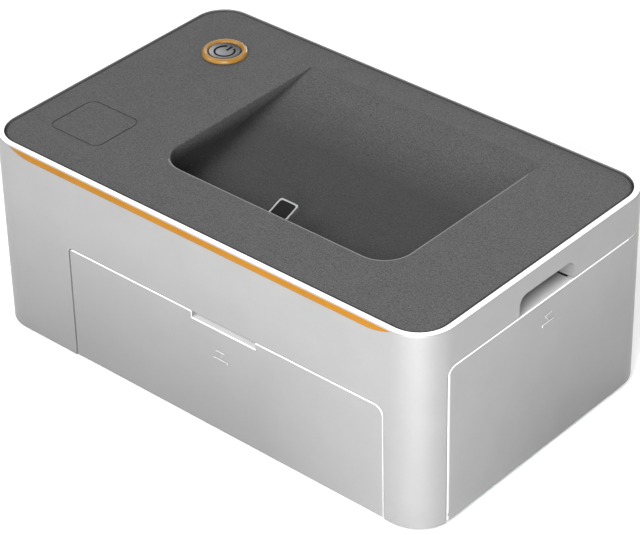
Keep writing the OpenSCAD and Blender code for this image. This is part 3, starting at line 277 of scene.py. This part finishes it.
def makeOutlineGroup():
    # Reach beyond an inner rectangle: it equals the corner's radius along the outline
    group, given, out = startGroup("roundOutline", {
        "Centre": ("Vector", (0, 0, 0)), "Inner": ("Vector", (0.01, 0.01, 1))}, {"Reach": "Float"})
    moved = put(group, "VectorMath", {0: objectCoords(group), 1: given["Centre"]}, operation="SUBTRACT").outputs[0]
    folded = put(group, "VectorMath", {0: moved}, operation="ABSOLUTE").outputs[0]
    past = put(group, "VectorMath", {0: folded, 1: given["Inner"]}, operation="SUBTRACT").outputs[0]
    beyond = put(group, "VectorMath", {0: past, 1: (0, 0, 0)}, operation="MAXIMUM").outputs[0]
    reach = put(group, "VectorMath", {0: beyond}, operation="LENGTH").outputs[1]
    group.links.new(reach, out["Reach"])
    return group


grainGroup, toneGroup, ringGroup, trackGroup = makeGrainGroup(), makeToneGroup(), makeRingGroup(), makeTrackGroup()
paintedFootShadeGroup, edgeHighlightGroup, outlineGroup = makePaintedFootShadeGroup(), makeEdgeHighlightGroup(), makeOutlineGroup()
print("surface effects are made")


def place(tree, group, values):
    node = tree.nodes.new("ShaderNodeGroup")
    node.node_tree = group
    for key, value in values.items():
        node.inputs[key].default_value = value
    return node


milkyReach = (0.6 * mm, 0.5 * mm, 0.4 * mm)


def startMaterial(name, look):
    material = bpy.data.materials.new(name)
    material.use_nodes = True
    shader = material.node_tree.nodes["Principled BSDF"]
    for socket, key in (("Metallic", "metallic"), ("Coat Weight", "coat"), ("Coat Roughness", "coatRough"),
                        ("IOR", "ior"), ("Subsurface Weight", "milky")):
        if key in look:
            shader.inputs[socket].default_value = look[key]
    if "milky" in look:
        shader.inputs["Subsurface Radius"].default_value = milkyReach
        shader.inputs["Subsurface Scale"].default_value = 1.0
    return material, material.node_tree, shader


def bump(tree, shader, height, depth):
    node = put(tree, "Bump", {"Height": height, "Distance": depth, "Strength": 1.0})
    tree.links.new(node.outputs[0], shader.inputs["Normal"])


def roughen(tree, shader, effect, depth):
    tree.links.new(effect.outputs["Roughness"], shader.inputs["Roughness"])
    bump(tree, shader, effect.outputs["Height"], depth)


def finish(name, look, *members):
    # Grain, drifting tone and roughness over the whole piece
    material, tree, shader = startMaterial(name, look)
    colour = place(tree, toneGroup, {"Tone": look["tone"], "Shade": look["shade"],
                                     "Size": look.get("driftSize", 9) * mm, "Fleck": look.get("fleck", 0.3)})
    tree.links.new(colour.outputs["Color"], shader.inputs["Base Color"])
    grain = place(tree, grainGroup, {"Size": look["grain"] * mm, "Stretch": look.get("stretch", (1, 1, 1)),
                                     "Smooth": look["smooth"], "Dull": look["dull"],
                                     "Drift": look.get("drift", 0.5)})
    roughen(tree, shader, grain, look["depth"] * mm)
    wear(material, *members)
    return material, tree, shader


def wear(material, *members):
    for member in members:
        for k in range(max(1, len(nodes[member].data.materials))):
            if k < len(nodes[member].material_slots):
                nodes[member].material_slots[k].material = material
            else:
                nodes[member].data.materials.append(material)


def dressShell(name, look, paintedHighlightMask, member):
    # Silver paint, with painted shade toward the foot away from the near corner and painted highlights on edges
    material, tree, shader = finish(name, look, member)
    axes = objectAxes(tree)
    low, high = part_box("upper_case")
    # Painted shade: darker paint toward the foot, away from the near corner
    foot = place(tree, paintedFootShadeGroup, {"Corner": (high.x, low.y, 0), "From": look["cornerFrom"] * mm,
                                   "To": look["cornerTo"] * mm, "Top": look["footShadeTop"] * mm,
                                   "Dark": look["footShadeDepth"]})
    tree.links.new(shader.inputs["Base Color"].links[0].from_socket, foot.inputs["Color"])
    mask = paintedHighlightMask(tree, axes)
    # Painted highlight: pale, non-metallic colour where the mask is set
    colour = put(tree, "Mix", {0: mask, 6: foot.outputs["Color"], 7: look["highlightTone"]}, data_type="RGBA").outputs[2]
    tree.links.new(colour, shader.inputs["Base Color"])
    metal = put(tree, "MapRange", {0: mask, 1: 0.0, 2: 1.0, 3: look["metallic"], 4: 0.0}).outputs[0]
    tree.links.new(metal, shader.inputs["Metallic"])


# The foot and corner values set the painted shade toward the foot; the pale tone is a painted highlight
shellPaint = {"tone": tone(134, 134, 134), "shade": tone(131, 131, 131), "highlightTone": tone(226, 226, 226),
              "metallic": 0.55, "coat": 0.1, "coatRough": 0.3, "grain": 0.16, "depth": 0.004, "smooth": 0.47,
              "dull": 0.52, "driftSize": 14, "drift": 0.2, "footShadeTop": 50, "footShadeDepth": 0.3, "cornerFrom": 12,
              "cornerTo": 60}
# Where the painted highlights lie on the rim, the doors and the scoop shelf
paintedHighlight = {"proud": 0.34, "upright": 0.35, "rim": 0.04, "cornerFrom": 12.5, "scoopLevel": 52.4, "scoopBack": 6.0,
            "scoopFront": 0.7, "scoopShare": 0.75, "scoopBand": 0.12}


def paintRimHighlight(tree, axes):
    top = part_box("upper_case")[1].z
    # Painted highlight on the top face of the rim
    return between(tree, axes[2], top - paintedHighlight["rim"] * mm, top + mm)


def paintFrontDoorHighlight(tree, axes):
    # Painted highlights on the front door's edges and raised marks
    low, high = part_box("front_door")
    return place(tree, edgeHighlightGroup, {"Inward": (0, 1, 0), "Face": low.y + paintedHighlight["proud"] * mm, "Along": (-1, 0, 0),
                                   "Side": -high.x, "Weak": paintedHighlight["upright"]}).outputs["Mask"]


def paintSideDoorHighlight(tree, axes):
    # Its rounded rear corner has no painted highlight line; the shelf of the finger scoop gets a painted highlight
    # toward its outer edge
    low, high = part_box("side_door")
    lines = place(tree, edgeHighlightGroup, {"Inward": (-1, 0, 0), "Face": paintedHighlight["proud"] * mm - high.x,
                                    "Along": (0, 1, 0), "Side": low.y, "Weak": paintedHighlight["upright"]}).outputs["Mask"]
    straight = put(tree, "Math", {0: axes[1], 1: high.y - paintedHighlight["cornerFrom"] * mm}, operation="LESS_THAN")
    lines = put(tree, "Math", {0: lines, 1: straight.outputs[0]}, operation="MULTIPLY").outputs[0]
    level, band = paintedHighlight["scoopLevel"] * mm, paintedHighlight["scoopBand"] * mm
    shelf = between(tree, axes[2], level - band, level + band)
    across = put(tree, "MapRange", {0: axes[0], 1: high.x - paintedHighlight["scoopBack"] * mm,
                                    2: high.x - paintedHighlight["scoopFront"] * mm, 3: 0.0,
                                    4: paintedHighlight["scoopShare"]}).outputs[0]
    floor = put(tree, "Math", {0: across, 1: shelf}, operation="MULTIPLY").outputs[0]
    return put(tree, "Math", {0: lines, 1: floor}, operation="MAXIMUM").outputs[0]


dressShell("casePaint", shellPaint, paintRimHighlight, "upper_case")
dressShell("frontDoorPaint", shellPaint, paintFrontDoorHighlight, "front_door")
dressShell("sideDoorPaint", shellPaint, paintSideDoorHighlight, "side_door")


def outlineReach(tree, corners, radius):
    # The outline is a rectangle with round corners, given as left, front, right and rear
    left, front, right, rear = corners
    return place(tree, outlineGroup, {
        "Centre": ((left + right) / 2 * mm, (front + rear) / 2 * mm, 0),
        "Inner": ((right - left) / 2 * mm - radius * mm, (rear - front) / 2 * mm - radius * mm, 1)}).outputs["Reach"]


def dressDeck(look):
    # Pebbled moulding, with painted shade down in the recess and along the gap to the rim, and painted highlights on
    # two edges of the recess
    material, tree, shader = startMaterial("deckPlastic", look)
    axes = objectAxes(tree)
    low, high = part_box("top_deck")
    # Painted shade: the deck darkens down into the recess
    recessShade = put(tree, "MapRange", {0: axes[2], 1: high.z - look["recessShadeFrom"] * mm, 2: high.z - look["recessShadeTo"] * mm,
                                  3: 0.0, 4: 1.0}).outputs[0]
    upper, lower = (place(tree, toneGroup, {"Tone": look[t], "Shade": look[s], "Size": look["driftSize"] * mm,
                                            "Fleck": look["fleck"]})
                    for t, s in (("tone", "shade"), ("recessShadeTone", "recessShadeDeep")))
    colour = put(tree, "Mix", {0: recessShade, 6: upper.outputs["Color"], 7: lower.outputs["Color"]},
                 data_type="RGBA").outputs[2]

    # Painted highlight on the front and right edges of the recess
    reach = outlineReach(tree, look["recess"], look["recessCorner"])
    edge = between(tree, reach, (look["recessCorner"] + look["highlightFrom"]) * mm,
                   (look["recessCorner"] + look["highlightTo"]) * mm)
    for value, limit, test in ((axes[0], look["highlightFromX"] * mm, "GREATER_THAN"),
                               (axes[1], look["highlightToY"] * mm, "LESS_THAN"),
                               (axes[2], high.z - look["highlightDepth"] * mm, "GREATER_THAN")):
        passed = put(tree, "Math", {0: value, 1: limit}, operation=test).outputs[0]
        edge = put(tree, "Math", {0: edge, 1: passed}, operation="MULTIPLY").outputs[0]
    colour = put(tree, "Mix", {0: edge, 6: colour, 7: look["recessHighlightTone"]}, data_type="RGBA").outputs[2]

    # Painted shade: a near-black band along the gap to the rim
    reach = outlineReach(tree, (low.x / mm, low.y / mm, high.x / mm, high.y / mm), look["corner"])
    gapShadeLine = put(tree, "Math", {0: reach, 1: (look["corner"] - look["gapShade"]) * mm}, operation="GREATER_THAN")
    colour = put(tree, "Mix", {0: gapShadeLine.outputs[0], 6: colour, 7: look["gapShadeTone"]}, data_type="RGBA").outputs[2]
    tree.links.new(colour, shader.inputs["Base Color"])

    grain = place(tree, grainGroup, {"Size": look["grain"] * mm, "Smooth": look["smooth"], "Dull": look["dull"],
                                     "Drift": look["drift"]})
    roughen(tree, shader, grain, look["depth"] * mm)
    wear(material, "top_deck")


# The recess tones are painted shade, the edge tone a painted highlight and the gap tone a painted shade
deckPlastic = {"tone": tone(73, 73, 73), "shade": tone(43, 43, 43), "recessShadeTone": tone(46, 46, 46),
               "recessShadeDeep": tone(25, 25, 25), "recessHighlightTone": tone(104, 104, 104), "gapShadeTone": tone(14, 14, 14),
               "ior": 1.38, "grain": 0.4, "depth": 0.1, "smooth": 0.6, "dull": 0.7, "recessShadeFrom": 1.2, "recessShadeTo": 4.6,
               "recess": (-33.8, -28.6, 52.0, 38.4), "recessCorner": 9, "highlightFrom": 0.2, "highlightTo": 0.62,
               "highlightFromX": -31, "highlightToY": 33, "highlightDepth": 0.5, "corner": 9.5, "gapShade": 0.7,
               "driftSize": 6, "fleck": 0.92, "drift": 0.15}
dressDeck(deckPlastic)

amberStrip = {"tone": tone(127, 83, 4), "shade": tone(121, 79, 3), "ior": 1.25, "grain": 0.2, "depth": 0.003,
              "smooth": 0.5, "dull": 0.6}
finish("amberStrip", amberStrip, "accent_stripe")
finish("amberRing", dict(amberStrip, tone=tone(138, 100, 38), shade=tone(130, 94, 34), ior=1.4, smooth=0.3,
                         dull=0.4), "button_ring")

panPlastic = {"tone": tone(62, 62, 64), "shade": tone(54, 54, 56), "grain": 0.4, "depth": 0.04,
              "smooth": 0.5, "dull": 0.66}
finish("panPlastic", panPlastic, "base_pan")
finish("bayPlastic", dict(panPlastic, tone=tone(74, 74, 77), shade=tone(66, 66, 69), smooth=0.42, dull=0.56),
       "paper_bay", "cartridge_bay", "paper_guide")
finish("cartridgePlastic", dict(panPlastic, tone=tone(44, 44, 47), shade=tone(38, 38, 41), smooth=0.38, dull=0.5),
       "ribbon_cartridge")
finish("blackPlastic", dict(panPlastic, tone=tone(26, 26, 27), shade=tone(20, 20, 21), depth=0.02, smooth=0.34,
                            dull=0.48), "dock_carrier", "button_switch", "power_inlet")
finish("plugPlastic", dict(panPlastic, tone=tone(14, 14, 15), shade=tone(10, 10, 11), ior=1.25, depth=0.01,
                           smooth=0.5, dull=0.6), "dock_plug_core")

rubber = {"tone": tone(34, 34, 35), "shade": tone(27, 27, 28), "grain": 0.25, "depth": 0.03, "smooth": 0.74,
          "dull": 0.9}
finish("footRubber", rubber, "rubber_feet")
finish("rollerRubber", dict(rubber, tone=tone(48, 48, 50), shade=tone(40, 40, 42), smooth=0.6, dull=0.78),
       "platen_rubber", "pickup_tyres")

nylon = {"tone": tone(236, 231, 217), "shade": tone(228, 222, 206), "grain": 0.3, "depth": 0.008, "smooth": 0.36,
         "dull": 0.5, "milky": 0.3}
finish("gearNylon", nylon, "platen_gear", "capstan_gear", "pickup_gear", "pickup_idler", "reduction_gear",
       "takeup_gear", "head_cam")
finish("bushAcetal", dict(nylon, tone=tone(226, 221, 208), shade=tone(216, 210, 196)), "shaft_bushes",
       "supply_spool", "takeup_spool")
finish("headCeramic", dict(nylon, tone=tone(238, 232, 220), shade=tone(230, 223, 210), smooth=0.2, dull=0.3,
                           milky=0.1), "head_ceramic")

# Metals: turned round X where the stretch is long in X, rolled along Y on the plates
shaftSteel = {"tone": tone(196, 198, 200), "shade": tone(182, 184, 187), "metallic": 1.0, "grain": 0.12,
              "stretch": (1, 0.04, 0.04), "depth": 0.004, "smooth": 0.16, "dull": 0.28}
finish("shaftSteel", shaftSteel, "front_hinge_pins", "dock_pin", "gear_studs", "tie_rods", "platen_roller",
       "pickup_shaft", "head_pivot", "pinch_roller")
finish("doorPinSteel", dict(shaftSteel, stretch=(0.04, 1, 0.04)), "side_hinge_pins")
finish("capstanGrit", dict(shaftSteel, tone=tone(150, 152, 155), shade=tone(132, 134, 137), grain=0.3,
                           stretch=(1, 1, 1), depth=0.03, smooth=0.34, dull=0.52), "capstan_roller")
finish("screwZinc", dict(shaftSteel, stretch=(1, 1, 1), smooth=0.24, dull=0.38), "case_screws", "board_screws",
       "pinch_springs")
plateZinc = {"tone": tone(186, 190, 194), "shade": tone(170, 174, 179), "metallic": 1.0, "grain": 0.25,
             "stretch": (1, 0.05, 1), "depth": 0.006, "smooth": 0.28, "dull": 0.44, "driftSize": 16, "fleck": 0.2}
finish("plateZinc", plateZinc, "left_plate", "right_plate", "head_arm")
finish("motorCan", dict(plateZinc, tone=tone(176, 180, 184), shade=tone(160, 164, 169), stretch=(1, 0.1, 0.1)),
       "feed_motor")
finish("heatSink", dict(plateZinc, tone=tone(204, 206, 208), shade=tone(192, 194, 197), stretch=(0.03, 1, 1)),
       "print_head")
finish("pinionBrass", dict(shaftSteel, tone=tone(206, 168, 88), shade=tone(190, 150, 74)), "motor_pinion")
finish("plugSteel", dict(shaftSteel, tone=tone(226, 228, 230), shade=tone(216, 218, 220), stretch=(1, 1, 1),
                         depth=0.0005, smooth=0.34, dull=0.42), "dock_plug_shell")


def dressButton(look):
    # Dished cap with the fine circles of a spun part, with painted shade darkening it toward its rear
    material, tree, shader = startMaterial("buttonSilver", look)
    low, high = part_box("power_button")
    centre = (low + high) / 2
    # Painted shade: the cap runs from its tone at the front to a near-black shade at the rear
    share = put(tree, "MapRange", {0: objectAxes(tree)[1], 1: low.y, 2: high.y, 3: 0.0, 4: 1.0}).outputs[0]
    colour = put(tree, "Mix", {0: share, 6: look["tone"], 7: look["shade"]}, data_type="RGBA").outputs[2]
    tree.links.new(colour, shader.inputs["Base Color"])
    rings = place(tree, ringGroup, {"Centre": tuple(centre), "Plane": (1, 1, 0), "Size": look["ring"] * mm,
                                    "Smooth": look["smooth"], "Dull": look["dull"]})
    roughen(tree, shader, rings, look["depth"] * mm)
    wear(material, "power_button")


# The shade tone is painted shade at the rear of the cap
buttonSilver = {"tone": tone(108, 109, 111), "shade": tone(14, 14, 15), "metallic": 1.0, "ring": 0.16,
                "depth": 0.003, "smooth": 0.3, "dull": 0.4}
dressButton(buttonSilver)


def dressRoll(name, look, *members):
    # Wound film: its layers show as circles on both ends
    low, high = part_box(members[0])
    material, tree, shader = startMaterial(name, look)
    colour = place(tree, toneGroup, {"Tone": look["tone"], "Shade": look["shade"],
                                     "Size": look["rollDrift"] * mm, "Fleck": look["rollFleck"]})
    tree.links.new(colour.outputs["Color"], shader.inputs["Base Color"])
    rings = place(tree, ringGroup, {"Centre": tuple((low + high) / 2), "Plane": (0, 1, 1),
                                    "Size": look["ring"] * mm, "Smooth": look["smooth"],
                                    "Dull": look["dull"]})
    roughen(tree, shader, rings, look["depth"] * mm)
    wear(material, *members)


ribbonFilm = {"tone": tone(72, 44, 78), "shade": tone(58, 36, 66), "coat": 0.6, "coatRough": 0.08, "depth": 0.02,
              "smooth": 0.14, "dull": 0.3, "ring": 0.25, "rollDrift": 6, "rollFleck": 0.2}
dressRoll("ribbonSupply", ribbonFilm, "supply_roll")
dressRoll("ribbonTakeup", ribbonFilm, "takeup_roll")
finish("ribbonSheet", dict(ribbonFilm, grain=1.2, stretch=(1, 0.15, 1), depth=0.01), "ribbon_film")


def dressBoard(name, look, member, partsFrom):
    # Green lacquer with tracks under it, black where the soldered parts begin along X
    material, tree, shader = startMaterial(name, look)
    tracks = place(tree, trackGroup, {"Size": look["track"] * mm, "Lacquer": look["tone"], "Track": look["shade"]})
    parts = put(tree, "Math", {0: objectAxes(tree)[0], 1: partsFrom}, operation="GREATER_THAN").outputs[0]
    colour = put(tree, "Mix", {0: parts, 6: tracks.outputs["Color"], 7: look["parts"]}, data_type="RGBA")
    tree.links.new(colour.outputs[2], shader.inputs["Base Color"])
    grain = place(tree, grainGroup, {"Size": look["grain"] * mm, "Smooth": look["smooth"], "Dull": look["dull"]})
    tree.links.new(grain.outputs["Roughness"], shader.inputs["Roughness"])
    bump(tree, shader, tracks.outputs["Height"], look["depth"] * mm)
    wear(material, member)


circuitBoard = {"tone": tone(24, 88, 48), "shade": tone(58, 128, 78), "parts": tone(30, 30, 31), "track": 2.2,
                "thick": 1.62, "grain": 0.5, "depth": 0.03, "smooth": 0.22, "dull": 0.34, "coat": 0.3}
dressBoard("mainBoard", circuitBoard, "main_board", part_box("main_board")[0].x + circuitBoard["thick"] * mm)
# The switch on the button board is a node of its own, so the limit for parts lies a metre off
dressBoard("buttonBoard", dict(circuitBoard, track=1.2), "button_board", 1.0)


def dressPort(look):
    # Nickel shell with a white tongue inside it
    material, tree, shader = startMaterial("portNickel", look)
    low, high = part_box("usb_port")
    axes, centre = objectAxes(tree), (low + high) / 2
    near = put(tree, "Math", {0: axes[0], 1: centre.x, 2: look["tongueHalfX"] * mm}, operation="COMPARE").outputs[0]
    inner = put(tree, "Math", {0: axes[2], 1: centre.z, 2: look["tongueHalfZ"] * mm}, operation="COMPARE").outputs[0]
    tongue = put(tree, "Math", {0: near, 1: inner}, operation="MULTIPLY").outputs[0]
    colour = put(tree, "Mix", {0: tongue, 6: look["tone"], 7: look["tongue"]}, data_type="RGBA")
    tree.links.new(colour.outputs[2], shader.inputs["Base Color"])
    metal = put(tree, "Math", {0: 1.0, 1: tongue}, operation="SUBTRACT").outputs[0]
    tree.links.new(metal, shader.inputs["Metallic"])
    grain = place(tree, grainGroup, {"Size": look["grain"] * mm, "Smooth": look["smooth"], "Dull": look["dull"]})
    roughen(tree, shader, grain, look["depth"] * mm)
    wear(material, "usb_port")


portNickel = {"tone": tone(206, 206, 204), "tongue": tone(236, 236, 232), "tongueHalfX": 1.1,
              "tongueHalfZ": 5.3, "grain": 0.3, "depth": 0.004, "smooth": 0.22, "dull": 0.34}
dressPort(portNickel)
print("finishes are on")

powerMark = {"radius": 3.05, "stroke": 0.62, "gap": 27, "barFrom": 0.9, "barTo": 3.35, "sink": 0.03, "proud": 0.08,
             "dish": 0.35, "capRadius": 4.7, "arcSteps": 48, "barSteps": 8}
markInk = {"tone": tone(16, 16, 17), "shade": tone(12, 12, 13), "ior": 1.1, "grain": 0.15, "depth": 0.004,
           "smooth": 0.6, "dull": 0.7}


def makePowerMark(look):
    low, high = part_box("power_button")
    centre = (low + high) / 2
    mesh = bmesh.new()

    def point(x, y, lift):
        reach = min(1.0, math.hypot(x, y) / look["capRadius"])
        z = high.z / mm - look["dish"] * (1 - reach * reach) + lift
        return mesh.verts.new((centre.x + x * mm, centre.y + y * mm, z * mm))

    def strip(pairs):
        # Pairs are the inner and outer edge of a stroke; each gets a top and a sunk copy
        top, foot = look["proud"], -look["sink"]
        rows = [[point(*a, top), point(*b, top), point(*b, foot), point(*a, foot)] for a, b in pairs]
        for r, s in zip(rows, rows[1:]):
            for k in range(4):
                mesh.faces.new((r[k], s[k], s[(k + 1) % 4], r[(k + 1) % 4]))
        mesh.faces.new(rows[0][::-1])
        mesh.faces.new(rows[-1])

    half = look["stroke"] / 2
    inner, outer = look["radius"] - half, look["radius"] + half
    arcs, bars = look["arcSteps"], look["barSteps"]
    turns = [math.radians(90 + look["gap"] + (360 - 2 * look["gap"]) * k / arcs) for k in range(arcs + 1)]
    strip([((inner * math.cos(t), inner * math.sin(t)), (outer * math.cos(t), outer * math.sin(t))) for t in turns])
    length = look["barTo"] - look["barFrom"]
    heights = [look["barFrom"] + length * k / bars for k in range(bars + 1)]
    strip([((-half, y), (half, y)) for y in heights])
    bmesh.ops.recalc_face_normals(mesh, faces=mesh.faces)
    data = bpy.data.meshes.new("powerMark")
    mesh.to_mesh(data)
    mesh.free()
    piece = bpy.data.objects.new("powerMark", data)
    bpy.context.scene.collection.objects.link(piece)
    data.materials.append(finish("markInk", markInk)[0])
    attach(piece, "power_button_body")


makePowerMark(powerMark)
print("power mark is on the button")
